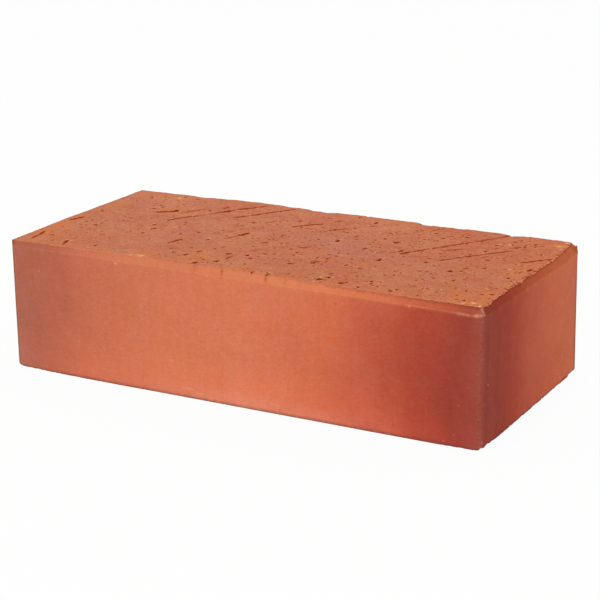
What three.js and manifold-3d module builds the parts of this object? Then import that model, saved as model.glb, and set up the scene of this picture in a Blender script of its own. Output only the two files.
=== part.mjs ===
// A solid facing brick of fired clay. The clay is pushed through a die as one column, so its four
// upright sides are smooth and its upright corners round. Wires cut the column across, which makes
// the two bed faces, and a press then bevels the arrises round the upper bed. The brick is one piece.
//
// Millimetres, +Z up. The brick lies on its lower bed. Its stretchers, the long sides, face -Y and +Y,
// and its headers, the short ends, face -X and +X. The origin is the middle of the lower bed.

import * as THREE from "three";
import { mergeVertices } from "three/addons/utils/BufferGeometryUtils.js";
import Module from "manifold-3d";

// The brick's format
const BRICK_LENGTH = 250; // from header to header
const BRICK_WIDTH = 120; // from stretcher to stretcher
const BRICK_HEIGHT = 65; // from bed to bed

// The die's mouth
const CORNER_RADIUS = 3.6; // the four upright corners

// The pressed bevel: an inset runs in over the upper bed, and a drop runs down the side face.
const STRETCHER_BEVEL_INSET = 4.2;
const STRETCHER_BEVEL_DROP = 2.9;
const HEADER_BEVEL_INSET = 1.9;
const HEADER_BEVEL_DROP = 4.2;

// The arris round the lower bed, softened where the wet brick stood on its pallet
const FOOT_RADIUS = 0.8;

// How finely the round forms are cut
const CORNER_FACETS = 12; // round one upright corner
const FOOT_FACETS = 3; // across the arris of the foot

const CLAY_COLOUR = 0xc1755a;
const CLAY_ROUGHNESS = 0.92;

const wasm = await Module();
wasm.setup();

// A closed three.js geometry as a solid that can be cut.
function solidFrom(geometry) {
  geometry.deleteAttribute("normal");
  geometry.deleteAttribute("uv");
  const welded = mergeVertices(geometry);
  return new wasm.Manifold(
    new wasm.Mesh({
      numProp: 3,
      vertProperties: welded.attributes.position.array,
      triVerts: new Uint32Array(welded.index.array),
    }),
  );
}

// A cut solid as a three.js geometry again.
function geometryFrom(solid) {
  const { vertProperties, triVerts } = solid.getMesh();
  const geometry = new THREE.BufferGeometry();
  geometry.setAttribute("position", new THREE.BufferAttribute(vertProperties, 3));
  geometry.setIndex(new THREE.BufferAttribute(triVerts, 1));
  geometry.computeVertexNormals();
  return geometry;
}

// The mouth of the die: the brick's plan, with a quarter circle at each corner.
function dieMouth() {
  const cornerX = BRICK_LENGTH / 2 - CORNER_RADIUS;
  const cornerY = BRICK_WIDTH / 2 - CORNER_RADIUS;
  const quarter = Math.PI / 2;
  const mouth = new THREE.Shape();
  mouth.absarc(cornerX, -cornerY, CORNER_RADIUS, -quarter, 0);
  mouth.absarc(cornerX, cornerY, CORNER_RADIUS, 0, quarter);
  mouth.absarc(-cornerX, cornerY, CORNER_RADIUS, quarter, 2 * quarter);
  mouth.absarc(-cornerX, -cornerY, CORNER_RADIUS, 2 * quarter, 3 * quarter);
  mouth.closePath();
  return mouth;
}

// The column of clay on its softened foot, a little longer than the brick is high.
function clayColumn() {
  const column = new THREE.ExtrudeGeometry(dieMouth(), {
    depth: BRICK_HEIGHT,
    curveSegments: CORNER_FACETS / 2, // an arc gets two facets for each
    bevelEnabled: true,
    bevelThickness: FOOT_RADIUS,
    bevelSize: FOOT_RADIUS,
    bevelOffset: -FOOT_RADIUS,
    bevelSegments: FOOT_FACETS,
  });
  column.translate(0, 0, FOOT_RADIUS);
  return solidFrom(column);
}

// The clay on the far side of the upper wire, which the cut parts from the brick.
function clayOverWire() {
  const offcut = new THREE.BoxGeometry(2 * BRICK_LENGTH, 2 * BRICK_WIDTH, BRICK_HEIGHT);
  offcut.translate(0, 0, 1.5 * BRICK_HEIGHT);
  return solidFrom(offcut);
}

// The clay that the press takes off one side face: a wedge as long as the face's upper arris, and over.
// The bevel is the wedge's slanting side. It runs on past the bed and the face by its own width, so
// that the wedge's other two sides stand clear of the brick.
function bevelWedge({ faceDistance, faceWidth, inset, drop, turn }) {
  const section = new THREE.Shape();
  section.moveTo(-2 * inset, drop);
  section.lineTo(inset, -2 * drop);
  section.lineTo(inset, drop);
  const wedgeLength = faceWidth + 2 * inset;
  const wedge = new THREE.ExtrudeGeometry(section, { depth: wedgeLength, bevelEnabled: false });
  wedge.translate(0, 0, -wedgeLength / 2);
  wedge.rotateX(Math.PI / 2);
  wedge.translate(faceDistance, 0, BRICK_HEIGHT);
  wedge.rotateZ(turn);
  return solidFrom(wedge);
}

// The press bevels the two stretchers alike and the two headers alike.
const HEADER = {
  faceDistance: BRICK_LENGTH / 2,
  faceWidth: BRICK_WIDTH,
  inset: HEADER_BEVEL_INSET,
  drop: HEADER_BEVEL_DROP,
};
const STRETCHER = {
  faceDistance: BRICK_WIDTH / 2,
  faceWidth: BRICK_LENGTH,
  inset: STRETCHER_BEVEL_INSET,
  drop: STRETCHER_BEVEL_DROP,
};

// The side faces in turn, round from the header that faces +X.
const SIDE_FACES = [HEADER, STRETCHER, HEADER, STRETCHER];

// The whole brick: the column cut off by the wire, and then pressed on each side. Two bevels meet in
// a mitre that runs out of the bed's corner and dies away in the round of the upright corner.
function brickGeometry() {
  let clay = clayColumn().subtract(clayOverWire());
  SIDE_FACES.forEach((face, index) => {
    const turn = (index * Math.PI) / 2;
    clay = clay.subtract(bevelWedge({ ...face, turn }));
  });
  return geometryFrom(clay);
}

const firedClay = new THREE.MeshStandardMaterial({
  color: CLAY_COLOUR,
  roughness: CLAY_ROUGHNESS,
  metalness: 0,
  flatShading: true,
});

const brick = new THREE.Mesh(brickGeometry(), firedClay);
brick.name = "brick";

const clayBrick = new THREE.Group();
clayBrick.add(brick);

export default clayBrick;
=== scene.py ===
import math
from dataclasses import dataclass
from functools import partial

import bpy
import numpy as np
from mathutils import Matrix, Vector


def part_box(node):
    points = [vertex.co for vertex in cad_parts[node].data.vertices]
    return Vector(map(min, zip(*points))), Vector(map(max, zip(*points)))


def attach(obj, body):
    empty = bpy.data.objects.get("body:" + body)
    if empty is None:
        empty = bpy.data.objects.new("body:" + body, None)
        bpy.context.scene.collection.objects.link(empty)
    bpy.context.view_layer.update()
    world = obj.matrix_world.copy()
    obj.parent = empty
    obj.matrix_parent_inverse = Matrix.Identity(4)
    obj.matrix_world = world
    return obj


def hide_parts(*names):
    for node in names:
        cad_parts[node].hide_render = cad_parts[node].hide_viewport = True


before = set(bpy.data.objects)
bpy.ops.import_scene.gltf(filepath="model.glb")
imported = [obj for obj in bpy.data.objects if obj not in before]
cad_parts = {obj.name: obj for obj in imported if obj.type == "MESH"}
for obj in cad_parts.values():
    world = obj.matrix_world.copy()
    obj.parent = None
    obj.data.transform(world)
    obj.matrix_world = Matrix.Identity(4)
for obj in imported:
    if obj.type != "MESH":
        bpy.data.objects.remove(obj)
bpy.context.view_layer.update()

# A solid brick of red clay: die-smooth sides, wire-cut beds, and a pressed bevel round the upper bed.
# The shaping below is in millimetres and becomes metres when the mesh is made.

MM = 0.001
LOW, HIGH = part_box("brick")
LENGTH, WIDTH, HEIGHT = (HIGH - LOW) / MM
HALF_LENGTH = LENGTH / 2
HALF_WIDTH = WIDTH / 2

SKIN_ALLOWANCE = 0.2  # the faces lie this far inside the brick's outermost burrs
BED_ALLOWANCE = 0.08  # and the upper bed this far under its highest lumps
HEADROOM = 0.02  # which stay this far under the brick's height
FACE_X = HALF_LENGTH - SKIN_ALLOWANCE
FACE_Y = HALF_WIDTH - SKIN_ALLOWANCE
BED_LEVEL = HEIGHT - BED_ALLOWANCE
LEAST_BEVEL = 0.15  # the bevel's drop where it is smallest
FOOT_RADIUS = 0.7  # arris round the lower bed
LEAST_LIFT = 0.2  # where the foot would stand clear of the floor by less, it touches it
LIFT_REACH = 9  # how far in under the brick the foot can stand clear
MESH_STEP = 0.5  # spacing of the mesh before it is thinned
TRIANGLES = 190_000  # what is left after thinning
KEPT_INSIDE = 0.01  # and how far the thinned mesh stays inside the brick's height


@dataclass
class Upright:
    """One rounded upright corner of the brick."""

    radius: float  # at the top
    foot_radius: float
    dark_streak: float = 0  # how dark the streak down the corner is
    streak_place: float = 0  # where, in mm round the corner from its middle to the header
    streak_reach: float = 1
    spur: float = 0  # height of the spur of clay left standing over the bevel
    spur_reach: float = 1


UPRIGHTS = {
    (-1, -1): Upright(3.4, 3.6, dark_streak=1, streak_place=0.3, streak_reach=3.2, spur=1.7, spur_reach=1.7),
    (1, -1): Upright(3.6, 3.4),
    (1, 1): Upright(5.0, 2.4, dark_streak=1, streak_place=1.8, streak_reach=3, spur=1.8, spur_reach=1.3),
    (-1, 1): Upright(3.6, 3.6, dark_streak=0.6, streak_reach=2.5),
}


@dataclass
class Side:
    """One side of the brick. Each list runs along the side, and starts with the place in millimetres."""

    seed: int
    bevel: tuple  # place, inset over the bed, drop down the face
    ragged: float  # how ragged the wire left the upper arris all along
    ochre: float  # how ochre the bed is along this side
    pale: tuple = ((0, 0.2),)  # place, how pale the crumbs on the upper arris are
    tears: tuple = ((0, 0),)  # place, how deep the upper arris is torn away
    dust: tuple = ((0, 1),)  # place, how much ochre dust the bevel holds, or under 0 how brown it is fired
    seam: tuple = ((0, 0.3),)  # place, how dark the painted shade on the bevel just under the arris is
    lip: tuple = ((0, 0.2),)  # place, how much of the die's lip stands under the bevel, and how strong the pale line along it is, partly wear and partly a painted highlight
    lift: tuple = ((0, 0),)  # place, how far the foot is warped or broken clear of the floor


FRONT = Side(
    seed=11,
    bevel=(
        (-125, 1.6, 2.3), (-80, 2.6, 2.3), (-60, 4.0, 2.6), (-40, 4.9, 2.5), (-5, 5.8, 3.0),
        (10, 6.1, 2.7), (60, 4.4, 2.5), (100, 3.9, 2.6), (112, 4.0, 2.8), (118, 4.1, 2.9),
        (125, 3.9, 3.0),
    ),
    ragged=0.12,
    ochre=0.5,
    pale=(
        (-125, 0), (-112, 0.3), (-90, 0.6), (-68, 0.7), (-50, 1), (-46, 0.1), (-25, 0.1), (0, 0.3),
        (60, 0.4), (85, 0.7), (125, 0.8),
    ),
    dust=(
        (-125, -0.8), (-115, -0.4), (-105, -0.4), (-92, -0.15), (-78, 0.2), (-50, 1), (-35, 0.7),
        (-20, -0.2), (-5, 0.6), (60, 0.9), (85, 0.7), (110, 0.6), (125, 0.6),
    ),
    seam=((-125, 0.1), (-80, 0.2), (-12, 0.1), (20, 0.4), (50, 0.8), (90, 0.8), (125, 1.2)),
    lip=((-125, 0.5), (-60, 0.3), (-40, 0.1), (40, 0.1), (80, 0.3), (95, 0.55), (110, 0.75), (125, 1)),
    lift=(
        (-125, 1.3), (-123.2, 0.8), (-112, 0.65), (-105, 0.45), (-92, 0.2), (-78, 0), (95, 0), (108, 0.3),
        (118, 0.45), (123.6, 0.5), (124.1, 1.1), (125, 1.2),
    ),
)
RIGHT = Side(
    seed=12,
    bevel=(
        (-60, 1.9, 2.9), (-55, 2.0, 3.1), (-45, 2.1, 3.5), (-26, 2.4, 4.0), (0, 1.9, 4.2), (12, 1.7, 4.5),
        (31, 1.4, 4.8), (42, 2.3, 4.9), (51, 3.0, 4.6), (60, 4.3, 4.3),
    ),
    ragged=0.4,
    ochre=0.45,
    pale=((-60, 0.5), (25, 0.45), (60, 0.75)),
    tears=(
        (-52, 0), (-50, 0.6), (-47, 0), (-16, 0), (-12, 0.7), (-8, 0), (0, 0), (3, 0.5), (6, 0), (24, 0),
        (26, 0.4), (29, 0),
    ),
    seam=((-60, 0.9), (60, 1)),
    lip=(
        (-60, 1), (-56, 0.4), (-50, 0.2), (-25, 0.2), (-15, 0.7), (5, 0.8), (20, 0.7), (30, 0.7),
        (45, 0.8), (60, 1),
    ),
    lift=(
        (-60, 0.5), (-58.9, 0.5), (-58.4, 1.1), (-57, 1.3), (-55.8, 0.6), (-54.5, 0.9), (-52.5, 1.2),
        (-49, 0.8), (-44, 0.5), (-35, 0.3), (-5, 0.25), (34, 0.35), (36, 0.5), (37.5, 0), (47.8, 0),
        (48.6, 1), (56, 1), (58.5, 1.3), (60, 1.5),
    ),
)
BACK = Side(
    seed=13,
    bevel=(
        (-125, 5.6, 3), (-116, 5.0, 3), (-110, 4.4, 3), (-104, 4.9, 3), (-97, 3.9, 3), (-88, 4.4, 3),
        (-70, 1.6, 2.6), (-50, 0.7, 2.4), (-43, 1.2, 2.4), (33, 1.1, 2.4), (38, 0.7, 2.4),
        (40.3, 0.6, 2.4), (41.3, 1.3, 2.4), (98, 1.2, 2.4), (102.5, 0.4, 2.4), (107, 0.9, 2.4),
        (125, 1.1, 2.4),
    ),
    ragged=0.15,
    ochre=0.3,
    pale=((-125, 0.2), (40, 0.2), (60, 0.5), (125, 0.5)),
    tears=(
        (-88.5, 0), (-86, 0.35), (-82, 0.4), (-80.5, 0.15), (-71, 0.2), (-67, 0), (-60, 0), (-57, 0.15),
        (-54, 0), (-37, 0), (-34, 0.35), (-31, 0.35), (-28.5, 0.15), (-23.5, 0.25), (-22, 0.4),
        (-20.5, 0.85), (-16, 0.7), (-13, 1.05), (-11.5, 1), (-8.5, 0.5), (-6, 0.2), (0, 0.2), (6, 0),
        (10.3, 0), (11, 0.4), (12, 0), (40.2, 0), (41.2, 0.6), (42.5, 0.8), (45, 0.85), (47, 0.55),
        (53, 0.55), (57.5, 0.3), (60.5, 0.5), (63.5, 0.35), (66, 0), (83, 0), (86.5, 0.2), (87.6, 0.5),
        (88.8, 1.4), (90.5, 1), (92, 0.5), (95, 0.2), (97.5, 0.3), (99, 0), (110, 0), (111, 0.2),
        (112.5, 0),
    ),
    lift=((-125, 0.9), (-110, 0.3), (-95, 0), (100, 0), (125, 0.7)),
)
LEFT = Side(
    seed=14,
    bevel=(
        (-60, 0.4, 2.6), (-50, 0.5, 3.4), (-8, 0.4, 4.0), (5, 1.3, 4.2), (20, 1.5, 4.2), (35, 2.2, 4.2),
        (60, 2.6, 4.2),
    ),
    ragged=0.12,
    ochre=0.5,
    lift=((-60, 1.4), (-56, 0.9), (-40, 0.6), (-10, 0.2), (30, 0.2), (60, 0.9)),
)

# Hair cracks down the front bevel: place at the bevel's foot, half the width, how dark.
CRACKS = ((-19.4, 0.3, 0.7), (-4.7, 0.35, 1), (18.6, 0.4, 1), (28.7, 0.3, 0.5), (90, 0.3, 0.4))
CRACK_LEAN = 2.4  # how far they lean to the left on the way up

# Scores that grit on the cutting wire dragged across the bed: points along the score, width, depth.
SCORES = (
    (((-76, 7.3), (-69.5, 18.2), (-66.5, 22)), 1.0, 0.45),
    (((-66.5, 22), (-60, 32.5)), 0.8, 0.25),
    (((-60.5, 32), (-55.5, 39.5)), 1.2, 0.45),
    (((-55, 41), (-44.5, 55)), 1.1, 0.35),
    (((-47.8, 27), (-43.5, 33)), 1.3, 0.45),
    (((-43.5, 33), (-28.5, 55)), 0.9, 0.35),
    (((-78, 23), (-69, 35.5)), 0.8, 0.2),
    (((-91, 18), (-81.5, 24.5)), 1.3, 0.45),
    (((-29, 24.5), (-26, 30)), 0.8, 0.3),
    (((55.5, 4), (58.5, 9)), 1.3, 0.55),
    (((58.5, 9), (88.5, 54), (89.5, 60)), 0.9, 0.3),
    (((76, 1.5), (84, 12), (100.5, 32.5)), 0.8, 0.3),
    (((71, 18), (79, 25)), 0.9, 0.3),
    (((-13.5, 23.5), (-6.5, 32.5), (-2.5, 35)), 1.0, 0.4),
    (((5.5, 25.5), (13.5, 34)), 0.8, 0.25),
    (((-32.5, -10.5), (-29, -1.5)), 0.8, 0.25),
    (((-29, -1.5), (-27, 4.5)), 1.4, 0.4),
    (((-53, -28.5), (-51, -20)), 0.9, 0.4),
    (((112, 15), (118.5, 23), (123, 28)), 0.9, 0.35),
    (((6, -7), (9.5, -7.5), (12, -3.5)), 0.8, 0.3),
    (((-13.5, -34.5), (-14, -40)), 0.7, 0.25),
    (((-119.3, -38), (-118, -44), (-117.5, -52)), 0.9, 0.4),
    (((-120.5, -14.5), (-118, -6)), 1.1, 0.4),
    (((-99, -47), (-97, -54.5)), 0.8, 0.25),
)
UNDER_SCORES = (  # and across the lower bed
    (((-96, 30), (-70, -8), (-62, -22)), 1.0, 0.45),
    (((-20, 57), (4, 18)), 0.9, 0.35),
    (((34, 12), (52, -16), (74, -52)), 1.0, 0.5),
    (((88, 40), (97, 26)), 1.2, 0.5),
)

# Holes where the wire tore grit out of the bed, by place: wide ones, deep ones and shallow ones.
WIDE_PITS = (
    (-34.5, 22), (27, -25.5), (25.5, -27.5), (46, 21), (51.5, -8), (51, -10), (53, 8.5), (52, -50),
    (41, -50.5), (-24, -52), (88, -11.5), (72, -3.5), (18.5, 10.5),
)
DEEP_PITS = (
    (-74, -9.5), (-103, -16.5), (-99, -47.5), (-39, -15), (9, 55), (30.5, -13), (41.5, -24), (-32, -35),
    (-16.5, -32), (-8, -31), (17, -33.5), (-34.5, -42.5), (-23, -45), (-15.5, -45), (-92, 27),
    (-82.5, 25.5), (43, -45.5), (118.5, -37), (120, 6), (96, 12.5), (90, 26.5), (90.5, 37.5), (72.5, 45),
    (56, 44.5), (61, -52.5), (77, -51.5), (97.5, 41.5), (100, 38), (2.5, 44), (48.5, -26), (21, 49),
)
SHALLOW_PITS = (
    (16, -53.4), (-94.5, 2), (-110.5, -9.5), (-99.5, -39), (-112.5, -42), (-93.5, -49), (-46.5, -36),
    (-42, -41.5), (-56.5, -12.5), (-52.5, -3.5), (-65, 7), (-83, 1.5), (-103.5, -7.5), (-74, -18.5),
    (-99.5, -31), (-94.5, 24), (-99, 33), (-108, 42.5), (-114.5, 38), (-67, 33), (-62, 41.5), (-56.5, 35),
    (-84.5, 50.5), (-42.5, 6.5), (-41, -2.5), (-37, 21.5), (-22, 24), (-27, 27.5), (-15.5, 35), (22, 43),
    (0.5, 30), (6, 26.5), (13.5, 27.5), (-5.5, 25), (-18.5, 14), (-29.5, 13), (-32, 10.5), (-29.5, -0.5),
    (-9, 9), (9.5, 9), (23.5, 21.5), (36, 31), (37, 37.5), (37.5, 24.5), (44.5, 20.5), (40.5, 14.5),
    (36.5, 5), (-12, -2), (-11.5, -7.5), (-3, -5), (-13, -16), (-6, -13), (5.5, -12), (11.5, -20),
    (29, -18), (45, -14), (-25, -23), (-1.5, -24.5), (30, -22.5), (-4, -34.5), (3, -30), (6.5, -30),
    (14.5, -29.5), (41.5, -40), (8, -53), (45.5, 2), (78, -7.5), (79, -17.5), (75.5, -17.5), (67.5, -20),
    (85.5, -25), (99, -18), (95.5, -23.5), (68, -29), (87.5, -39.5), (111.5, -49.5), (108, -49),
    (100.5, -0.5), (116, -10), (114, 10.5), (93, 16), (102, 18), (111.5, 22), (96, 47), (110, 45),
    (106, 48), (100.5, 55.5), (53.5, 51.5), (62.5, 37.5), (55.5, 32), (72, 12.5), (64.5, -45), (63, -42),
    (53.5, -37.5), (52, 4.5),
)
PITS = ((WIDE_PITS, 2.3, 0.6), (DEEP_PITS, 1.7, 0.75), (SHALLOW_PITS, 1.3, 0.5))  # places, width, depth
PLAIN_DEPTH = 0.7  # from this depth a cut looks fully dark
FINE_PITS = 1500  # scattered over a bed, too small to place one by one
FINE_WIDTHS = (0.55, 1.05)
FINE_DEPTHS = (0.1, 0.85)  # most are near the first
FINE_MARGINS = (4, 8)  # left free of them at the headers and along the stretchers
FINE_LEAN = 0.8  # under 1 there are more of them towards the right
DRAG = math.radians(57)  # which way the wire dragged, round from the brick's length
GRAIN_STRETCH = 1.4  # how much longer the drag draws the grain out

# Pale, crumbly places on the bed: place, reach, how pale.
CRUMBS = (
    (-95, 48, 2.4, 1), (-61, -54.5, 0.8, 1), (-57.5, -54.2, 1.1, 1), (-54.5, -54, 1.6, 1),
    (-52, -53.8, 2.1, 1), (-49.6, -53.6, 1.4, 1), (15, -51.3, 1.3, 1), (12.4, -44.4, 1.1, 1),
    (38, 47, 1.5, 0.8), (117.5, -53.6, 3.2, 1), (120.6, -54.4, 1.6, 1), (113, -53.5, 1.4, 1),
    (117.8, 48.5, 3.2, 0.9), (118.8, 55.5, 2.2, 0.9), (121, 44, 1.8, 0.8), (119.5, 39.3, 1.3, 0.7),
    (115, 52, 2.2, 0.7), (111, 3, 1.2, 1), (-66, -2, 1.5, 1), (-70, 1, 1.2, 1),
)

# Marks on the sides: place (x, y, z), half length, half height, and how strong.
PALE_SCUFFS_AND_HIGHLIGHTS = (
    (-24.5, -60, 4.8, 3.5, 0.6, 0.55), (-18.5, -60, 3.4, 2.5, 0.5, 0.35), (-63, -60, 61.3, 0.9, 0.8, 0.6),
    (-33, -60, 17.5, 1.5, 0.5, 0.4), (-108, -60, 51.5, 0.5, 0.7, 0.4), (-70.5, -60, 2.2, 0.5, 0.6, 0.5),
    (-120, -60, 25, 0.4, 0.7, 0.5), (112, -60, 6, 0.5, 0.5, 0.3), (107, -60, 2.4, 0.5, 0.5, 0.45),
    (118, -60, 29, 0.4, 0.6, 0.15), (114, -60, 20, 0.4, 0.5, 0.22), (90, -60, 62.2, 0.5, 0.9, 0.6),
    # The marks at x over 121 and y under -53, down the front right upright and along the top of its mitre,
    # are partly wear and partly painted highlights.
    (-13, -60, 62.5, 0.5, 1.1, 0.5), (125, -53.2, 29.2, 0.5, 0.5, 1), (124.5, -56.5, 36, 0.4, 0.5, 0.5),
    (124, -57, 45, 0.5, 0.8, 0.5), (123.5, -58, 52, 0.4, 0.6, 0.5), (124.5, -56.5, 21, 0.4, 0.6, 0.5),
    (124, -57, 8, 0.6, 0.5, 0.5), (125, 27, 15.5, 0.6, 0.5, 0.35), (125, 17, 24, 0.9, 0.4, 0.25),
    (122.8, -56.6, 64.4, 0.8, 0.6, 0.5), (123.3, -57, 63.8, 0.7, 0.5, 0.45),
    (123.8, -57.4, 63.2, 0.6, 0.5, 0.5), (124.2, -57.8, 62.6, 0.6, 0.4, 0.6),
    (121.8, -59.7, 62, 1.8, 0.7, 0.45), (123.6, -59.2, 62.1, 0.9, 0.6, 0.6),
    (124.6, -58, 62.2, 0.6, 0.4, 0.6), (124.2, -58.5, 1.8, 0.7, 0.6, 0.6), (124.6, -58, 4, 0.5, 0.9, 0.5),
    (-125, 20, 40, 2.5, 0.5, 0.45), (40, 60, 30, 3, 0.6, 0.45), (-70, 60, 12, 0.7, 0.7, 0.5),
)
DARK_SCUFFS_AND_SHADE = (
    (54, -60, 58, 0.5, 0.8, 0.5), (82.5, -60, 5.5, 0.4, 1.2, 0.4), (25, -60, 2.6, 0.5, 0.5, 0.5),
    # The mark at (125, 44) under the header's broken foot is painted shade.
    (1, -60, 32, 0.4, 0.4, 0.4), (125, 8, 33, 0.4, 0.4, 0.4), (125, 44, 0.6, 4, 1.1, 1),
    # The one at (124.3, 58.2) is a painted shadow in the notch at the back right corner, and the long one
    # beside the front right upright is partly the kiln's flash and partly painted shade.
    (-30, 60, 44, 0.6, 0.5, 0.5), (124.3, 58.2, 64.7, 0.8, 0.8, 1), (124.8, -54.4, 35, 2.4, 45, 0.3),
)

# Ochre places on the bed: place, reach, how ochre.
STAINS = (
    (-86, 23, 6, 1.3), (-80, 27, 4, 1), (-120, -10, 5, 1.6), (-120, -24, 6, 1.6), (-119, -40, 6, 1.6),
    (-117, 22, 4, 1), (-29, -46, 8, 1.5), (-50, -52, 9, 1), (-26, 1, 4, 1), (48, -20, 3, 1),
    (30, -22, 3, 1), (118, -38, 7, 1.2), (119, -50, 5, 1.4), (109, -46, 6, 1.4), (101, -36, 4, 1),
    (114, 4, 3, 1), (112, 31, 3, 1), (118, 50, 6, 1.4), (-96, 48, 5, 1.2), (38, 46, 3, 1), (0, -55, 9, 1),
    (-75, -56, 8, 1), (-92, -44, 30, 0.35),
)


# ---------------------------------------------------------------- shaping in the clay

def ease(t):
    """A smooth step from 0 to 1."""
    t = np.clip(t, 0, 1)
    return t * t * (3 - 2 * t)


def fade(away, reach, start=1.0):
    """Falls smoothly from 1 to 0 as away grows. It gets to 0 at start times the reach."""
    return ease(start - away / reach)


def bump_at(place, middle, reach):
    """1 at the middle, falling smoothly to 0 at the reach."""
    return fade(np.abs(place - middle), reach)


def lumps(points, size, seed):
    """Smooth random heights from -1 to 1 at points, whose lumps are about size millimetres across."""
    cells = 61  # the lumps repeat after so many
    lattice = np.random.default_rng(seed).uniform(-1, 1, (cells, cells, cells))
    scaled = points / size
    whole = np.floor(scaled)
    share = ease(scaled - whole)
    whole = whole.astype(int)
    height = np.zeros(len(points))
    for corner in np.ndindex(2, 2, 2):
        weight = np.prod(np.where(corner, share, 1 - share), axis=1)
        x, y, z = ((whole + corner) % cells).T
        height += weight * lattice[x, y, z]
    return height


def patches(points, size, seed, middle=0.5, contrast=1.0):
    """Smooth random patches from 0 to 1 at points. The higher the middle, the more they cover."""
    return ease(middle + contrast * lumps(points, size, seed))


def on_a_line(place):
    """Places along a side as points, for lumps and patches that follow it."""
    return np.stack([place, np.zeros_like(place), np.zeros_like(place)], axis=1)


def dragged(points):
    """The points drawn together along the wire's drag, so that what is round there comes out long."""
    lengthwise = points[:, 0] * math.cos(DRAG) + points[:, 1] * math.sin(DRAG)
    across = points[:, 1] * math.cos(DRAG) - points[:, 0] * math.sin(DRAG)
    return np.stack([lengthwise / GRAIN_STRETCH, across, points[:, 2]], axis=1)


def along(stations, place, column=1):
    """Reads one column of a list that runs along a side, at each place."""
    return np.interp(place, [s[0] for s in stations], [s[column] for s in stations])


def distance_to(x, y, path):
    """How far each point (x, y) lies from a path of straight stretches, and from the path's nearer end."""
    lengths = [math.dist(start, end) for start, end in zip(path, path[1:])]
    nearest = np.full(x.shape, np.inf)
    run = np.zeros(x.shape)
    for number, ((ax, ay), (bx, by)) in enumerate(zip(path, path[1:])):
        dx, dy = bx - ax, by - ay
        t = np.clip(((x - ax) * dx + (y - ay) * dy) / (dx * dx + dy * dy), 0, 1)
        away = np.hypot(x - ax - t * dx, y - ay - t * dy)
        run = np.where(away < nearest, sum(lengths[:number]) + t * lengths[number], run)
        nearest = np.minimum(nearest, away)
    return nearest, np.minimum(run, sum(lengths) - run)


def notched(side, place):
    """How far the wire left the upper arris of a side in from its line at each place."""
    coarse = lumps(on_a_line(place), size=1.5, seed=side.seed + 30)
    fine = lumps(on_a_line(place), size=0.8, seed=side.seed + 40)
    return side.ragged * (0.3 * coarse + 0.6 * fine)


def torn_depth(side, place):
    """How deep the upper arris of a side is torn away at each place along it."""
    coarse = patches(on_a_line(place), size=2.2, seed=side.seed)
    fine = patches(on_a_line(place), size=0.8, seed=side.seed + 10)
    return along(side.tears, place) + side.ragged * (coarse + fine) / 2


class WireCut:
    """The relief a cutting wire leaves on a bed: heights, hollows and burrs."""

    def __init__(self, points, seed, scores, pits):
        self.rng = np.random.default_rng(seed)
        self.x, self.y = points[:, 0], points[:, 1]
        self.grain = lumps(dragged(points), size=0.9, seed=seed + 1)
        swell = 0.08 * lumps(points, size=28, seed=seed + 2)
        waves = 0.06 * lumps(points, size=6, seed=seed + 3)
        self.height = swell + waves + 0.04 * self.grain
        self.hollow = np.zeros(len(points))
        self.burr = np.zeros(len(points))
        self.wobble = 1 + 0.35 * lumps(points, size=2.5, seed=seed + 4)
        coarse, fine = lumps(points, size=3, seed=seed + 5), lumps(points, size=1.2, seed=seed + 6)
        self.patchy = 0.8 + 0.35 * coarse + 0.35 * fine
        for path, width, depth in scores:
            self.score(path, width, depth)
        for places, width, depth in pits:
            for place in places:
                self.pit(place, width * self.rng.uniform(0.8, 1.2), depth)
        for _ in range(FINE_PITS):
            self.fine_pit()

    def score(self, path, width, depth):
        """Drags grit along a path. The score wobbles, and narrows over the last 2 mm at either end."""
        away, from_end = distance_to(self.x, self.y, path)
        narrowed = 0.6 + 0.45 * ease(from_end / 2)
        reach = away / (width * self.wobble * narrowed) + 0.4 * self.grain
        self.cut(slice(None), reach, 1.15 * depth * self.patchy)

    def pit(self, place, width, depth):
        """Tears out a pit, a little longer than wide and mostly along the drag."""
        longer = self.rng.uniform(1, 2.2)
        turn = self.rng.normal(DRAG, 0.4)
        dx, dy = self.x - place[0], self.y - place[1]
        near = np.flatnonzero((np.abs(dx) < 2 * width) & (np.abs(dy) < 2 * width))
        dx, dy = dx[near], dy[near]
        lengthwise = (dx * math.cos(turn) + dy * math.sin(turn)) / longer
        across = dy * math.cos(turn) - dx * math.sin(turn)
        self.cut(near, np.hypot(lengthwise, across) / (width / 2) + 0.8 * self.grain[near], depth)

    def fine_pit(self):
        """Tears out one of the pits that are too small to place one by one."""
        x = (2 * self.rng.random() ** FINE_LEAN - 1) * (HALF_LENGTH - FINE_MARGINS[0])
        y = self.rng.uniform(-1, 1) * (HALF_WIDTH - FINE_MARGINS[1])
        width = self.rng.uniform(*FINE_WIDTHS)
        shallow, deep = FINE_DEPTHS
        self.pit((x, y), width, shallow + (deep - shallow) * self.rng.random() ** 3)

    def cut(self, where, reach, depth):
        """Sinks the clay where reach is under 1, and raises a small burr round it."""
        depth = np.maximum(depth, 0)
        sunk = ease(1.7 - 1.4 * reach)
        burr = bump_at(reach, 1.5, 0.5)
        plain = np.minimum(1, depth / PLAIN_DEPTH)
        self.height[where] += 0.1 * depth * burr - depth * sunk
        self.hollow[where] = np.maximum(self.hollow[where], sunk * plain)
        self.burr[where] = np.maximum(self.burr[where], burr * plain)


# ---------------------------------------------------------------- the brick's mesh

ACROSS = round(LENGTH / MESH_STEP)
DEEP = round(WIDTH / MESH_STEP)
RIM = 2 * (ACROSS + DEEP)

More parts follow.
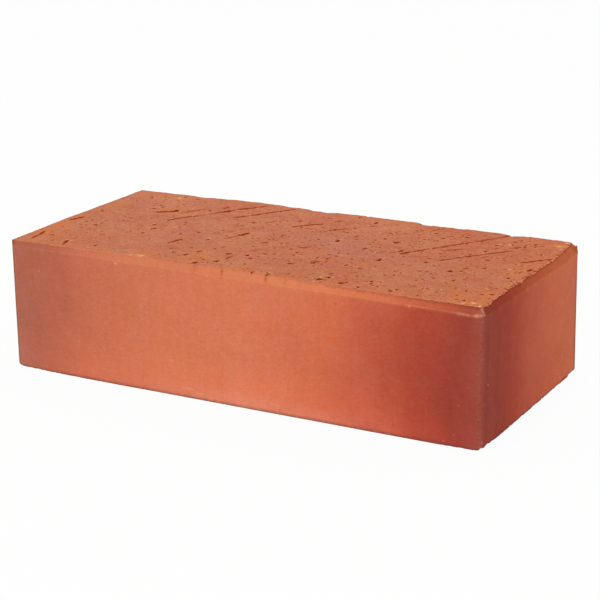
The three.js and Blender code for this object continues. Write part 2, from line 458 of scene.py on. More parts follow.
# The rim is a closed loop of mesh columns, anticlockwise from the front left. Each has a share from -1
# to 1 along the length and the width, and one of the two is -1 or 1.
LENGTHWISE = np.linspace(-1, 1, ACROSS + 1)
WIDTHWISE = np.linspace(-1, 1, DEEP + 1)
SHARE_X = np.concatenate([LENGTHWISE[:-1], np.ones(DEEP), LENGTHWISE[:0:-1], -np.ones(DEEP)])
SHARE_Y = np.concatenate([-np.ones(ACROSS), WIDTHWISE[:-1], np.ones(ACROSS), WIDTHWISE[:0:-1]])
ON_STRETCHER = np.abs(SHARE_Y) >= 1
SIDE_X = np.where(SHARE_X < 0, -1, 1)
SIDE_Y = np.where(SHARE_Y < 0, -1, 1)

# Where the mesh has its rows, from the upper arris to the lower one, closer together where it bends.
BEVEL_ROWS = (0, 0.05, 0.12, 0.25, 0.45, 0.65, 0.83, 0.93, 1)  # shares of the bevel
SPUR_SHARES = {0.93: 0.3, 1: 1}  # how much of a spur's height stands on the bevel's last rows
UNDER_BEVEL_ROWS = (0.3, 0.7, 1.4, 3)  # below the bevel
FACE_ROWS = np.linspace(0, 0.98, 13)[1:]  # shares of the face from there to the foot's arris
FOOT_ROWS = (0, 30, 60, 90)  # degrees round the foot's arris

# What each row says after a column's x, y and z.
RIM_FINISHES = ("bevel", "torn_bevel", "lip", "seam", "wear_and_sheen", "dark_streak")
LIP = 3 + RIM_FINISHES.index("lip")
SEAM = 3 + RIM_FINISHES.index("seam")


def of_upright(name):
    """One value of the nearest upright corner, for each rim column."""
    result = np.zeros(RIM)
    for (side_x, side_y), upright in UPRIGHTS.items():
        result[(SIDE_X == side_x) & (SIDE_Y == side_y)] = getattr(upright, name)
    return result


def corner_radius(level):
    """Each rim column's corner radius, from the top (0) to the foot (1)."""
    return of_upright("radius") * (1 - level) + of_upright("foot_radius") * level


def run_from_middle(radius):
    """How far each rim column runs from the middle of its side, and how far the side runs straight."""
    straight = np.where(ON_STRETCHER, FACE_X, FACE_Y) - radius
    share = np.where(ON_STRETCHER, np.abs(SHARE_X), np.abs(SHARE_Y))
    return share * (straight + radius * math.pi / 4), straight


def round_the_corner():
    """How far each rim column lies from the middle of its upright corner, positive on the header."""
    radius = corner_radius(0)
    run, straight = run_from_middle(radius)
    away = straight + radius * math.pi / 4 - run
    return np.where(ON_STRETCHER, -away, away)


def outline(level, inset=0.0):
    """The rim on the brick's round-cornered plan, from the top (0) to the foot (1), drawn in by inset."""
    radius = corner_radius(level)
    run, straight = run_from_middle(radius)
    turn = np.clip(run - straight, 0, None) / radius
    lengthwise = np.minimum(run, straight) + (radius - inset) * np.sin(turn)
    outward = np.where(ON_STRETCHER, FACE_Y, FACE_X) - radius + (radius - inset) * np.cos(turn)
    x = np.where(ON_STRETCHER, lengthwise, outward) * SIDE_X
    y = np.where(ON_STRETCHER, outward, lengthwise) * SIDE_Y
    return x, y


def upper_arris():
    """Where the bevel meets the upper bed at each rim column."""
    place_x, place_y = SHARE_X * HALF_LENGTH, SHARE_Y * HALF_WIDTH
    left = -FACE_X + along(LEFT.bevel, place_y) + notched(LEFT, place_y)
    right = FACE_X - along(RIGHT.bevel, place_y) - notched(RIGHT, place_y)
    front = -FACE_Y + along(FRONT.bevel, place_x) + notched(FRONT, place_x)
    back = FACE_Y - along(BACK.bevel, place_x) - notched(BACK, place_x)
    x = left + (right - left) * (SHARE_X + 1) / 2
    y = front + (back - front) * (SHARE_Y + 1) / 2
    return x, y


def sides_round(x, y, left=-FACE_X, right=FACE_X, front=-FACE_Y, back=FACE_Y):
    """Each side with the place along it and the distance in from its line, for points (x, y)."""
    return ((FRONT, x, y - front), (RIGHT, y, right - x), (BACK, x, back - y), (LEFT, y, x - left))


def bevel_depth(x, y):
    """How deep the bevel stands below the bed at points (x, y) on the faces."""
    depth = np.full(len(x), LEAST_BEVEL)
    for side, place, inside in sides_round(x, y):
        depth = np.maximum(depth, along(side.bevel, place, 2) * (1 - inside / along(side.bevel, place, 1)))
    return depth


def foot_lift(x, y):
    """How far the foot stands clear of the floor at points (x, y)."""
    lift = np.zeros(len(x))
    for side, place, inside in sides_round(x, y):
        jagged = patches(on_a_line(place), size=1.3, seed=side.seed + 20, middle=0.4)
        lifted = along(side.lift, place) + (0.1 + 0.3 * side.ragged) * jagged - LEAST_LIFT
        lift = np.maximum(lift, lifted * fade(inside, LIFT_REACH))
    return lift


def edges(rim):
    """A loop of rim values as the bed's four edges, each from the left or from the front."""
    front = rim[: ACROSS + 1]
    right = rim[ACROSS : ACROSS + DEEP + 1]
    back = rim[ACROSS + DEEP : 2 * ACROSS + DEEP + 1][::-1]
    left = np.append(rim[2 * ACROSS + DEEP :], rim[0])[::-1]
    return front, right, back, left


def bed_grid(rim):
    """Fills a loop of rim values with a grid of rows from front to back."""
    u = np.linspace(0, 1, ACROSS + 1)[None, :]
    v = np.linspace(0, 1, DEEP + 1)[:, None]
    front, right, back, left = edges(rim)
    grid = (1 - v) * front[None, :] + v * back[None, :] + (1 - u) * left[:, None] + u * right[:, None]
    corners = (1 - u) * (1 - v) * front[0] + u * (1 - v) * front[-1]
    return grid - corners - (1 - u) * v * back[0] - u * v * back[-1]


def bed_numbers(rim_row, first_inside):
    """The vertex numbers of a bed's grid: the rim's own round the edge, new ones inside."""
    numbers = np.zeros((DEEP + 1, ACROSS + 1), int)
    numbers[0, :], numbers[:, -1], numbers[-1, :], numbers[:, 0] = edges(rim_row)
    inside = (DEEP - 1) * (ACROSS - 1)
    numbers[1:-1, 1:-1] = first_inside + np.arange(inside).reshape(DEEP - 1, ACROSS - 1)
    return numbers


def bed_quads(numbers):
    """The quads between the rows and columns of a bed's grid."""
    quads = np.stack([numbers[:-1, :-1], numbers[:-1, 1:], numbers[1:, 1:], numbers[1:, :-1]], axis=-1)
    return quads.reshape(-1, 4)


def spread(points, places, seed, size=1.5):
    """How strongly points are marked by a list of (x, y, reach, strength), with ragged borders."""
    near = np.zeros(len(points))
    border = 1 + 0.5 * lumps(points, size, seed)
    for x, y, reach, strength in places:
        away = np.hypot(points[:, 0] - x, points[:, 1] - y)
        near = np.maximum(near, strength * fade(away, reach * border, start=1.3))
    return near


def shape_upper_bed(arris_x, arris_y):
    """The upper bed's points, and how hollow, how pale with crumbs and painted highlights on the burrs,
    and how ochre each is.
    """
    x, y = bed_grid(arris_x), bed_grid(arris_y)
    points = np.stack([x.ravel(), y.ravel(), np.full(x.size, BED_LEVEL)], axis=1)
    cut = WireCut(points, 3, SCORES, PITS)
    # painted highlights on the burrs round the pits
    burrs = cut.burr * patches(points, size=1.6, seed=37, middle=0.2, contrast=1.8)
    crumbs = patches(points, size=1.3, seed=33, middle=0.7, contrast=1.8) * spread(points, CRUMBS, seed=32)
    nicked = patches(points, size=1.0, seed=36, middle=-0.3, contrast=2.2)
    crumbling = patches(points, size=1.1, seed=31, middle=0.7, contrast=1.5)
    patchy = 0.75 + 0.5 * lumps(points, size=6, seed=35)
    hollow = cut.hollow
    pale = np.maximum(burrs, crumbs)
    ochre = spread(points, STAINS, seed=34, size=4)
    torn = np.zeros(x.size)
    for side, place, inside in sides_round(x, y, x[:, :1], x[:, -1:], y[:1], y[-1:]):
        place, inside = place.ravel(), inside.ravel()
        depth = torn_depth(side, place)
        # a deeper tear reaches further in
        torn = np.maximum(torn, depth * fade(inside, 1 + 2.8 * depth))
        pale = np.maximum(pale, along(side.pale, place) * fade(inside, 0.8, start=1.2) * crumbling)
        hollow = np.maximum(hollow, min(1, 1.8 * side.ragged) * fade(inside, 1.2, start=1.3) * nicked)
        ochre = np.maximum(ochre, side.ochre * fade(inside, 20) * patchy)
    points[:, 2] = np.minimum(BED_LEVEL + cut.height - torn, HEIGHT - HEADROOM)
    return points, hollow, pale, ochre


def shape_under_bed(rim):
    """The lower bed's points inside its rim, and how hollow each is."""
    x, y = bed_grid(rim[:, 0]), bed_grid(rim[:, 1])
    points = np.stack([x.ravel(), y.ravel(), np.zeros(x.size)], axis=1)
    cut = WireCut(points, 7, UNDER_SCORES, ())
    from_edge = np.minimum(HALF_LENGTH - np.abs(points[:, 0]), HALF_WIDTH - np.abs(points[:, 1]))
    # it lies on its lumps, and only what is cut deeper stands clear of the floor
    relief = np.maximum(0, -cut.height - 0.12) * ease((from_edge - 0.8) / 2)
    points[:, 2] = relief + foot_lift(points[:, 0], points[:, 1])
    return points, cut.hollow


def shape_rim(arris_x, arris_y, arris_z):
    """Rows of points with finishes, from the upper arris down the bevel and the faces to the lower one."""
    top_x, top_y = outline(0)
    depth = bevel_depth(top_x, top_y)
    bevel_foot = BED_LEVEL - depth
    lift = foot_lift(top_x, top_y)
    lip = np.zeros(RIM)
    seam = np.zeros(RIM)
    dust = np.full(RIM, -1.0)
    for side, place, inside in sides_round(top_x, top_y):
        on_side = inside < 1.1
        lip = np.maximum(lip, along(side.lip, place) * on_side)
        seam = np.maximum(seam, along(side.seam, place) * on_side)
        dust = np.where(on_side, along(side.dust, place), dust)
    lip *= 0.6 + 0.4 * lumps(on_a_line(top_x + top_y * 1.3), size=3, seed=51)
    corner = round_the_corner()
    spur = of_upright("spur") * bump_at(corner, 0, of_upright("spur_reach"))
    # a pale band down each upright corner: partly wear, partly a painted sheen where the rounding catches
    # the light
    wear_and_sheen = bump_at(corner, -0.4, 2.6)
    # a darker streak down three of the upright corners
    streaked = of_upright("dark_streak") * bump_at(corner, of_upright("streak_place"), of_upright("streak_reach"))
    slide = np.clip((BED_LEVEL - arris_z) / depth, -0.2, 0.75)  # a torn arris starts down the bevel
    scoop = np.where(ON_STRETCHER, 1.05, 1.45)  # the wire's pull hollows the bevel over the headers
    stretcher_bevel = ease(0.5 - (corner - 1) / 1.2)

    def cracked(share):
        """How dark the hair cracks are, so far down the bevel."""
        dark = np.zeros(RIM)
        for place, reach, strength in CRACKS:
            middle = place - CRACK_LEAN * (1 - share)
            dark = np.maximum(dark, strength * bump_at(top_x, middle, 2 * reach) * (top_y < 0))
        return dark * (1 if share < 0.6 else 0.6)

    rows = []

    def add_row(x, y, z, bevel=0.0, lip_share=0.0, seam_share=0.0, crack=0.0, corner_share=0.0):
        rows.append(np.stack([
            x, y, z,
            bevel * stretcher_bevel * np.maximum(dust, 0),
            bevel * (1 - stretcher_bevel * np.minimum(1 + dust, 1)),
            lip * lip_share,
            # the painted shade under the arris, and the hair cracks' darkness where that is stronger
            np.maximum(seam * seam_share, crack),
            wear_and_sheen * corner_share,
            streaked * corner_share,
        ], axis=1))

    for share in BEVEL_ROWS:
        across = (slide + (1 - slide) * share) ** scoop if share else slide
        x = arris_x + (top_x - arris_x) * across
        y = arris_y + (top_y - arris_y) * across
        z = arris_z + (bevel_foot - arris_z) * share
        if share in SPUR_SHARES:
            z = np.minimum(z + spur * SPUR_SHARES[share], BED_LEVEL)
        under_arris = bump_at(share, 0.06, 0.15) * (share > 0)
        add_row(x, y, z, 1, max(0, 6 * share - 5), under_arris, cracked(share), share)
    for below in UNDER_BEVEL_ROWS:
        add_row(top_x, top_y, bevel_foot - below, max(0, 0.8 - below), max(0, 1 - below), corner_share=1)
    for share in FACE_ROWS:
        x, y = outline(share)
        z = (bevel_foot - UNDER_BEVEL_ROWS[-1]) * (1 - share) + (FOOT_RADIUS + lift) * share
        add_row(x, y, z, corner_share=1)
    for turn in FOOT_ROWS:
        turn = math.radians(turn)
        x, y = outline(1, FOOT_RADIUS * (1 - math.cos(turn)))
        add_row(x, y, lift + FOOT_RADIUS * (1 - math.sin(turn)), corner_share=1 - math.sin(turn))

    # no face is quite flat, the lip stands a little proud and the seam is sunk
    rows = np.array(rows)
    inner_x, inner_y = outline(0, 1)
    outward = np.stack([top_x - inner_x, top_y - inner_y], axis=1)
    settled = 6  # the arris itself stays in its place, and rows move fully from this one down
    for number, row in enumerate(rows[2:], start=2):
        swell = 0.09 * lumps(row[:, :3], size=22, seed=41) + 0.03 * lumps(row[:, :3], size=5, seed=42)
        push = swell + 0.12 * row[:, LIP] - 0.06 * row[:, SEAM] * (number < settled)
        row[:, :2] += outward * (push * min(1, number / settled))[:, None]
    return rows


def shape_brick():
    """The whole brick: points, quads, the quads' material numbers, and each finish's value per point."""
    arris_x, arris_y = upper_arris()
    upper, *upper_finishes = shape_upper_bed(arris_x, arris_y)
    edge = np.zeros(RIM, int)
    grid = np.arange(len(upper)).reshape(DEEP + 1, ACROSS + 1)
    numbers = bed_numbers(np.arange(RIM), RIM)
    round_edge = numbers < RIM
    edge[numbers[round_edge]] = grid[round_edge]
    rows = shape_rim(arris_x, arris_y, upper[edge, 2])
    under, under_hollow = shape_under_bed(rows[-1])

    inside = ~round_edge.ravel()
    ring = rows.reshape(-1, rows.shape[2])
    points = np.concatenate([ring[:, :3], upper[inside], under[inside]])

    upper_quads = bed_quads(bed_numbers(np.arange(RIM), len(ring)))
    under_numbers = bed_numbers(len(ring) - RIM + np.arange(RIM), len(ring) + inside.sum())
    under_quads = bed_quads(under_numbers)[:, ::-1]
    columns = np.arange(len(ring)).reshape(-1, RIM)
    onward = np.roll(columns, -1, axis=1)
    side_quads = np.stack([columns[:-1], columns[1:], onward[1:], onward[:-1]], axis=-1).reshape(-1, 4)
    quads = np.concatenate([upper_quads, under_quads, side_quads])
    material = np.repeat([0, 1], [len(upper_quads) + len(under_quads), len(side_quads)])

    finishes = {}
    none = np.zeros(len(upper))
    under_finishes = (under_hollow, none, none)
    for name, over, below in zip(("hollow", "crumb_and_highlight", "stain"), upper_finishes, under_finishes):
        values = np.concatenate([np.zeros(len(ring)), over[inside], below[inside]])
        values[:RIM] = over[edge]
        finishes[name] = values
    for number, name in enumerate(RIM_FINISHES, start=3):
        finishes[name] = np.concatenate([ring[:, number], none[inside], none[inside]])
    return points, quads, material, finishes


def make_piece(name, points, quads, material, finishes):
    """A mesh object in metres, with its finishes as values on its points."""
    mesh = bpy.data.meshes.new(name)
    mesh.vertices.add(len(points))
    mesh.vertices.foreach_set("co", (points * MM).ravel())
    mesh.loops.add(quads.size)
    mesh.loops.foreach_set("vertex_index", quads.ravel())
    mesh.polygons.add(len(quads))
    mesh.polygons.foreach_set("loop_start", np.arange(0, quads.size, 4))
    mesh.polygons.foreach_set("material_index", material)
    for finish, values in finishes.items():
        mesh.attributes.new(finish, "FLOAT", "POINT").data.foreach_set("value", values)
    mesh.update(calc_edges=True)
    mesh.validate()
    piece = bpy.data.objects.new(name, mesh)
    bpy.context.collection.objects.link(piece)
    return piece


def thin_out(piece, triangles):
    """Thins the mesh to so many triangles, and keeps the points where the surface bends."""
    now = sum(len(face.vertices) - 2 for face in piece.data.polygons)
    thinner = piece.modifiers.new("thin", "DECIMATE")
    thinner.ratio = triangles / now
    bpy.context.view_layer.objects.active = piece
    with bpy.context.temp_override(object=piece, active_object=piece):
        bpy.ops.object.modifier_apply(modifier=thinner.name)
    places = np.empty(3 * len(piece.data.vertices))
    piece.data.vertices.foreach_get("co", places)
    # thinning can push a point out
    places[2::3] = np.clip(places[2::3], KEPT_INSIDE * MM, (HEIGHT - KEPT_INSIDE) * MM)
    piece.data.vertices.foreach_set("co", places)


# ---------------------------------------------------------------- finishes

def linear(colour):
    """An sRGB hex colour as linear red, green, blue and alpha."""
    channels = [int(colour[i : i + 2], 16) / 255 for i in (1, 3, 5)]
    return [c / 12.92 if c <= 0.04045 else ((c + 0.055) / 1.055) ** 2.4 for c in channels] + [1]


def add_node(tree, kind, inputs=(), stops=(), **settings):
    """Adds a node with its settings, its inputs and a ramp's stops.

    Inputs are a list in the order of the sockets in use, or go by name. Each is a value, a socket to link,
    or a node to link by its first output in use.
    """
    node = tree.nodes.new("ShaderNode" + kind)
    for name, value in settings.items():
        setattr(node, name, value)
    if isinstance(inputs, dict):
        pairs = [(node.inputs[name], value) for name, value in inputs.items()]
    else:
        pairs = zip([socket for socket in node.inputs if socket.enabled], inputs)
    for socket, value in pairs:
        if isinstance(value, bpy.types.Node):
            value = next(output for output in value.outputs if output.enabled)
        if isinstance(value, bpy.types.NodeSocket):
            tree.links.new(value, socket)
        else:
            socket.default_value = value
    if stops:
        elements = node.color_ramp.elements
        elements.remove(elements[1])
        elements[0].position, elements[0].color = stops[0][0], linear(stops[0][1])
        for position, colour in stops[1:]:
            elements.new(position).color = linear(colour)
    return node


def new_material(name):
    """A material with nothing in it yet, and what adds a node to it."""
    material = bpy.data.materials.new(name)
    material.use_nodes = True
    material.node_tree.nodes.clear()
    return material, partial(add_node, material.node_tree)


def finish_values(add, *names):
    """What the brick's points say of finishes, one output for each name."""
    return [add("Attribute", attribute_name=name).outputs["Fac"] for name in names]


def per_metre(size):
    """The texture scale that makes a pattern repeat about every size millimetres."""
    return 1 / (size * MM)


def mixed_noise(add, place, layers, middle=0.5):
    """Adds up noises round the middle, each with its size in millimetres and its strength."""
    total = middle
    for size, strength in layers:
        noise = add("TexNoise", {"Vector": place, "Scale": per_metre(size), "Detail": 2})
        level = add("Math", [noise, -0.5], operation="ADD")
        total = add("Math", [level, strength, total], operation="MULTIPLY_ADD")
    return total


def fire(add, clay, grain, relief, roughness):
    """Gives the clay its fired surface, which hardly shines and is raised a little by its grain."""
    bump = add("Bump", {"Height": grain, "Strength": relief, "Distance": 0.2 * MM})
    surface = {"Base Color": clay, "Roughness": roughness, "Specular IOR Level": 0.05, "Normal": bump}
    add("OutputMaterial", {"Surface": add("BsdfPrincipled", surface)})


# A mauve bloom that firing left on the upper bed, leaning towards the front right.
BLOOM_PLACE = (33 * MM, 1 * MM, HEIGHT * MM)
BLOOM_LEAN = (0, 0, math.radians(-20))
BLOOM_REACH = (74 * MM, 20 * MM, 1)  # along it and across it, and as deep as the bed's relief


def wire_cut_clay():
    """Fired red clay cut wet by a wire: matt, dragged, and full of dark pits, ochre patches and crumbs."""
    material, add = new_material("wire_cut_clay")
    place = add("TexCoord").outputs["Object"]
    axes = add("SeparateXYZ", [place]).outputs
    hollow, crumb_and_highlight, stain = finish_values(add, "hollow", "crumb_and_highlight", "stain")

    # clay batches folded together, then the wire's drag, then grit
    drag = {"Vector": place, "Rotation": (0, 0, DRAG), "Scale": (1.3, 1, 1)}
    along_drag = add("Mapping", drag, vector_type="TEXTURE")
    mottle = mixed_noise(add, place, ((38, 0.22), (8, 0.25)))
    mottle = mixed_noise(add, along_drag, ((2.1, 0.3), (0.9, 0.5)), middle=mottle)
    clay = add("ValToRGB", [mottle], stops=(
        (0.25, "#9C4A30"), (0.38, "#B4664A"), (0.52, "#C07557"), (0.66, "#C98361"), (0.78, "#D8976B"),
    ))

    # a little richer towards the end that flashed, and paler towards the back
    hue = mixed_noise(add, place, ((17, 0.02), (6, 0.012)))
    lengthwise = {"Value": axes["X"], "From Min": -FACE_X * MM, "From Max": FACE_X * MM}
    rich = add("MapRange", {**lengthwise, "To Min": 0.985, "To Max": 1.025})
    rich = mixed_noise(add, place, ((12, 0.1), (5, 0.06)), middle=rich)
    backward = {"Value": axes["Y"], "From Min": -FACE_Y * MM, "From Max": FACE_Y * MM}
    value = add("MapRange", {**backward, "To Min": 0.97, "To Max": 1.04})
    clay = add("HueSaturation", {"Hue": hue, "Saturation": rich, "Value": value, "Color": clay})

    bloom = {"Vector": place, "Location": BLOOM_PLACE, "Rotation": BLOOM_LEAN, "Scale": BLOOM_REACH}
    bloom = add("Mapping", bloom, vector_type="TEXTURE")
    bloom = add("VectorMath", [bloom], operation="LENGTH")
    bloom = {"Value": bloom, "From Min": 1, "From Max": 0, "To Max": 0.3}
    bloom = add("MapRange", bloom, interpolation_type="SMOOTHSTEP")
    patchy = mixed_noise(add, place, ((3, 2.6), (1.2, 1)), middle=0.55)
    ochre = add("Math", [stain, patchy], operation="MULTIPLY")
    flecks = mixed_noise(add, place, ((14, 0.5), (1.1, 1)))
    flecks = add("MapRange", {"Value": flecks, "From Min": 0.68, "From Max": 0.76, "To Max": 0.9})
    # pits, scores and nicks darker with depth: partly the raw clay inside them, partly painted shade
    torn_share = add("MapRange", {"Value": hollow, "From Min": 0.03, "From Max": 0.2})
    torn = add("ValToRGB", [hollow], stops=(
        (0.05, "#BC5E36"), (0.25, "#A84A26"), (0.5, "#883318"), (0.85, "#5C2010"),
    ))
    # pale crumbs, and painted highlights on the burrs round the pits
    crumbs = add("ValToRGB", [crumb_and_highlight], stops=((0.4, "#DA8C5C"), (0.8, "#E6A476"), (1, "#F2C69C")))
    for amount, colour in (
        (bloom, linear("#B87A70")),
        (ochre, linear("#CB7444")),
        (flecks, linear("#DE9A74")),
        (torn_share, torn),
        (crumb_and_highlight, crumbs),
    ):
        clay = add("Mix", [amount, clay, colour], data_type="RGBA")

    grit = mixed_noise(add, place, ((2.0, 0.5), (0.8, 1)))
    fire(add, clay, grit, relief=0.6, roughness=0.95)
    return material


def flash_and_light_reach(add, place, bevel):
    """How far each place of the sides lies, in metres, from where they are darkest, partly by the kiln's
    flash and partly by painted shade.
    """
    axes = add("SeparateXYZ", [place]).outputs
    flat = add("VectorMath", [place, (1, 1, 0)], operation="MULTIPLY")
    corner = (HALF_LENGTH * MM, -HALF_WIDTH * MM, 0)
    away = add("VectorMath", [flat, corner], operation="DISTANCE")

    # on the stretcher it reaches less far along the foot and the bevel than at mid height, and so does
    # the browner colour at the far end
    above = add("Math", [axes["Z"], 28 * MM], operation="SUBTRACT")
    squared = add("Math", [above, above], operation="MULTIPLY")
    drawn_back = add("Math", [squared, 12.5], operation="MULTIPLY")
    drawn_back = add("Math", [bevel, 12 * MM, drawn_back], operation="MULTIPLY_ADD")
    from_header = add("MapRange", {
        "Value": axes["X"], "From Min": HALF_LENGTH * MM, "From Max": (HALF_LENGTH - 20) * MM,
    })
    either_end = add("MapRange", {"Value": axes["X"], "From Min": -90 * MM, "From Max": -30 * MM})
    share = add("Math", [from_header, either_end], operation="MULTIPLY")
    away = add("Math", [drawn_back, share, away], operation="MULTIPLY_ADD")

    # along the header it holds near the corner, fades fast, and fades slowly beyond
    near, fading, beyond = [
        add("Math", [away, stretch, shift * MM], operation="MULTIPLY_ADD")
        for stretch, shift in ((0.85, 0), (2, -30), (0.7, 19))
    ]
    nearer = add("Math", [near, fading], operation="MAXIMUM")
    on_header = add("Math", [nearer, beyond], operation="MINIMUM")
    away = add("Mix", [from_header, on_header, away], data_type="FLOAT")
    wavering = mixed_noise(add, place, ((60, 0.03), (15, 0.012)), middle=0)
    return add("Math", [away, wavering], operation="ADD")


def marked_by(add, place, marks):
    """How strongly each place is marked by a list of scuffs, painted highlights and painted shade."""
    strongest = 0.0
    for x, y, z, half_length, half_height, strength in marks:
        stretch = np.array([1 / half_length, 1 / half_length, 1 / half_height])
        shift = tuple(-stretch * (x, y, z))
        off = add("VectorMath", [place, tuple(stretch / MM), shift], operation="MULTIPLY_ADD")
        far = add("VectorMath", [off], operation="LENGTH")
        near = add("MapRange", {"Value": far, "From Min": 1.3, "From Max": 0.5, "To Max": strength})
        strongest = add("Math", [near, strongest], operation="MAXIMUM")
    return strongest


def die_smooth_clay():
    """Fired red clay pressed smooth by the die: an even satin skin, darker towards the front right corner
    partly by the kiln's flash and partly by painted shade, and brightest along the stretcher's middle by a
    painted pool of light.
    """
    material, add = new_material("die_smooth_clay")
    place = add("TexCoord").outputs["Object"]
    axes = add("SeparateXYZ", [place]).outputs
    bevel, torn_bevel = finish_values(add, "bevel", "torn_bevel")
    away = flash_and_light_reach(add, place, bevel)
    # the colour by distance from the front right corner: darker there partly by the kiln's flash and
    # partly by painted shade, brightest along the stretcher's middle by a painted pool of light, browner
    # at the far end
    share = add("MapRange", {"Value": away, "From Max": LENGTH * MM})
    clay = add("ValToRGB", [share], stops=(
        (0, "#9E4A3C"), (0.06, "#9B4134"), (0.1, "#A44435"), (0.18, "#B04C37"), (0.26, "#C46047"),
        (0.34, "#CF6D4C"), (0.5, "#D57957"), (0.66, "#D07654"), (0.82, "#C56D51"), (0.89, "#B9654D"),
        (0.95, "#AF634F"), (0.99, "#AC6654"),
    ))

    # painted light bounced up from the pale floor: lighter towards the foot, less so on the header and
    # near the front right corner
    header = {"Value": axes["X"], "From Min": FACE_X * MM - 5 * MM, "From Max": FACE_X * MM}
    at_foot = add("MapRange", {**header, "To Min": 1.14, "To Max": 1.08})
    corner = {"Value": axes["X"], "From Min": 85 * MM, "From Max": 108 * MM}
    foot_reach = add("MapRange", {**corner, "To Min": 25 * MM, "To Max": 15 * MM})
    painted_floor_light = {"Value": axes["Z"], "From Max": foot_reach, "To Min": at_foot, "To Max": 0.96}
    painted_floor_light = add("MapRange", painted_floor_light)

    # the die's streaks run up the faces, over a clay grain drawn coarse enough to show
    drawn = add("VectorMath", [place, (1, 0.5, 0.03)], operation="MULTIPLY")
    streaks = mixed_noise(add, drawn, ((9, 0.02), (2.4, 0.05), (0.8, 0.07)), middle=painted_floor_light)
    wiped = add("VectorMath", [place, (0.6, 0.6, 1)], operation="MULTIPLY")
    value = mixed_noise(add, wiped, ((20, 0.1), (3, 0.08), (1.1, 0.18), (0.7, 0.22)), middle=streaks)

    # the foot is a little duller along the middle of the stretcher
    dull = {"Value": axes["X"], "From Min": -70 * MM, "From Max": -10 * MM, "To Min": 1, "To Max": 0.93}
    dull = add("MapRange", dull)
    dull = add("MapRange", {"Value": axes["X"], "From Min": 40 * MM, "From Max": 95 * MM, "To Min": dull})
    rich = add("MapRange", {"Value": axes["Z"], "From Min": 2 * MM, "From Max": 9 * MM, "To Min": dull})
    rich = mixed_noise(add, place, ((7, 0.06), (3, 0.06)), middle=rich)
    clay = add("HueSaturation", {"Saturation": rich, "Value": value, "Color": clay})

    # ochre dust that pressing and handling left on the bevels, the lip's wear with a painted highlight,
    # painted shade under the arris, the corners' wear with a painted sheen, and a darker streak down three
    # corners, all ragged at a grain's size
    ragged = mixed_noise(add, place, ((3, 1), (1, 2)), middle=1)
    speckled = mixed_noise(add, place, ((1.6, 4), (0.7, 5)), middle=1)
    lip, seam, wear_and_sheen, dark_streak = finish_values(add, "lip", "seam", "wear_and_sheen", "dark_streak")
    for amount, strength, broken, colour in (
        (bevel, 0.16, ragged, "#DC9050"),
        # a pale line along the die's lip: partly wear, partly a painted highlight
        (lip, 0.55, ragged, "#E39A78"),
        # painted shade on the bevel just under the upper arris, with the hair cracks
        (seam, 0.55, ragged, "#7A3018"),
        # the pale corner band: partly wear, partly a painted sheen
        (wear_and_sheen, 0.21, speckled, "#AC6A58"),
        # the darker streak down three upright corners
        (dark_streak, 0.8, ragged, "#85594A"),
    ):
        amount = add("Math", [amount, strength], operation="MULTIPLY")
        amount = add("Math", [amount, broken], operation="MULTIPLY")
        clay = add("Mix", [amount, clay, linear(colour)], data_type="RGBA")
    browner = [torn_bevel, clay, linear("#F0E5CC")]
    clay = add("Mix", browner, data_type="RGBA", blend_type="MULTIPLY")

    # a painted shadow along the foot where the brick meets the floor, then the marks of handling, among
    # which are some painted highlights and painted shade
    foot = add("MapRange", {"Value": axes["Z"], "From Min": 2.1 * MM, "From Max": 0.3 * MM})
    for amount, colour in (
        (foot, "#6C4442"),
        (marked_by(add, place, PALE_SCUFFS_AND_HIGHLIGHTS), "#EBA98A"),
        (marked_by(add, place, DARK_SCUFFS_AND_SHADE), "#64220F"),
    ):
        amount = add("Math", [amount, 0.6], operation="MULTIPLY")
        amount = add("Math", [amount, ragged], operation="MULTIPLY")
        clay = add("Mix", [amount, clay, linear(colour)], data_type="RGBA")

    fire(add, clay, value, relief=0.2, roughness=0.7)
    return material


# ---------------------------------------------------------------- floor, light and camera

def white_to_the_eye(add, dull, white, share=1.0):
    """Mixes towards a plain white where the camera, a mirror or a glass looks straight at the surface."""
    looks = add("LightPath").outputs
    seen = add("Math", [looks["Is Camera Ray"], looks["Is Glossy Ray"]], operation="ADD")
    seen = add("Math", [seen, looks["Is Transmission Ray"]], operation="ADD", use_clamp=True)
    part = add("Math", [seen, share], operation="MULTIPLY")
    return add("MixShader", [part, dull, white])


def lay_floor(reach):
    """A plain pale floor that keeps a faint shadow of the brick."""
    material, add = new_material("pale_floor")
    paint = add("BsdfDiffuse", {"Color": linear("#EAE8E5")})
    white = add("Emission", {"Strength": 1.0})
    add("OutputMaterial", {"Surface": white_to_the_eye(add, paint, white, 0.95)})
    mesh = bpy.data.meshes.new("floor")
    corners = [(-reach, -reach, 0), (reach, -reach, 0), (reach, reach, 0), (-reach, reach, 0)]
    mesh.from_pydata(corners, [], [(0, 1, 2, 3)])
    mesh.materials.append(material)
    floor = bpy.data.objects.new("floor", mesh)
    bpy.context.collection.objects.link(floor)


def light_world(ambient):
    """An even fill from all round, in front of a white background."""
    world = bpy.data.worlds.new("studio")
    world.use_nodes = True
    world.node_tree.nodes.clear()
    add = partial(add_node, world.node_tree)
    fill = add("Background", {"Color": (1, 1, 1, 1), "Strength": ambient})
    white = add("Background", {"Color": (1, 1, 1, 1), "Strength": 1.0})
    add("OutputWorld", {"Surface": white_to_the_eye(add, fill, white)})
    bpy.context.scene.world = world


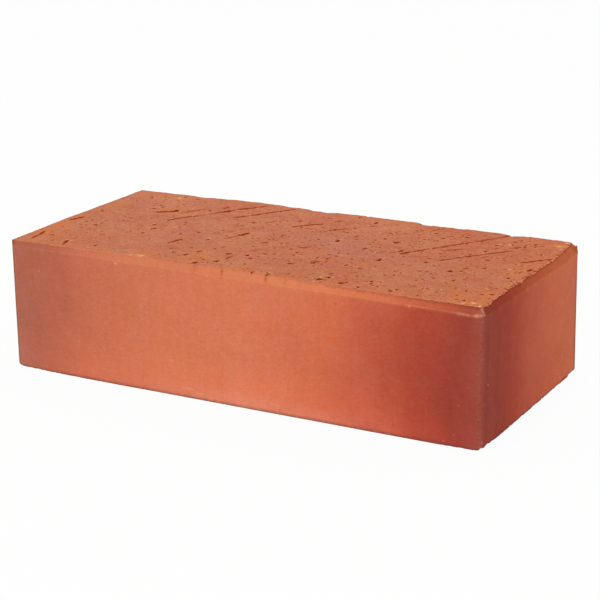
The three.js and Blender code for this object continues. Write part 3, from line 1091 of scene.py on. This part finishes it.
def hang_lamp(name, direction, distance, size, power):
    """A square soft box that faces the brick from a direction, in metres and watts."""
    lamp = bpy.data.lights.new(name, "AREA")
    lamp.shape = "SQUARE"
    lamp.size = size
    lamp.energy = power
    holder = bpy.data.objects.new(name, lamp)
    towards = Vector(direction).normalized()
    holder.location = towards * distance + Vector((0, 0, HEIGHT / 2 * MM))
    holder.rotation_euler = towards.to_track_quat("Z", "Y").to_euler()
    bpy.context.collection.objects.link(holder)


CAMERA_TURN = 28.4854  # degrees round from the front, above the floor, and of tilt
CAMERA_RISE = 17.4496
CAMERA_TILT = -0.5369
CAMERA_DISTANCE = 893.27  # mm, from the brick's middle
CAMERA_ASIDE = (-3.1165, -2.6858)  # mm, how far right of and above the view's middle the brick's lies
CAMERA_LENS = 109.68  # mm, on the sensor below
CAMERA_SENSOR = 36  # mm


def set_camera():
    """The camera, which looks at the brick from the front right and a little above."""
    turn, rise, tilt = (math.radians(angle) for angle in (CAMERA_TURN, CAMERA_RISE, CAMERA_TILT))
    back = Vector((math.sin(turn) * math.cos(rise), -math.cos(turn) * math.cos(rise), math.sin(rise)))
    right = Vector((math.cos(turn), math.sin(turn), 0))
    up = back.cross(right)
    tilted_right = right * math.cos(tilt) + up * math.sin(tilt)
    tilted_up = up * math.cos(tilt) - right * math.sin(tilt)
    aside, above = CAMERA_ASIDE
    middle = Vector((0, 0, HEIGHT / 2))
    place = middle - tilted_right * aside - tilted_up * above + back * CAMERA_DISTANCE
    camera = bpy.data.objects.new("camera", bpy.data.cameras.new("camera"))
    camera.data.sensor_width = CAMERA_SENSOR
    camera.data.lens = CAMERA_LENS
    camera.data.clip_start = 0.01
    camera.data.clip_end = 50
    axes = Matrix((tilted_right, tilted_up, back)).transposed().to_4x4()
    camera.matrix_world = Matrix.Translation(place * MM) @ axes
    bpy.context.collection.objects.link(camera)
    bpy.context.scene.camera = camera


# ---------------------------------------------------------------- the brick

brick = make_piece("clay_brick", *shape_brick())
brick.data.materials.append(wire_cut_clay())
brick.data.materials.append(die_smooth_clay())
thin_out(brick, TRIANGLES)
brick.data.shade_smooth()
brick.data.set_sharp_from_angle(angle=math.radians(38))
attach(brick, "root")
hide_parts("brick")

lay_floor(reach=6)
light_world(ambient=0.86)
hang_lamp("key", direction=(-0.3, -0.7, 0.65), distance=1.8, size=1.4, power=10.5)
set_camera()
bpy.context.scene.view_settings.view_transform = "Standard"
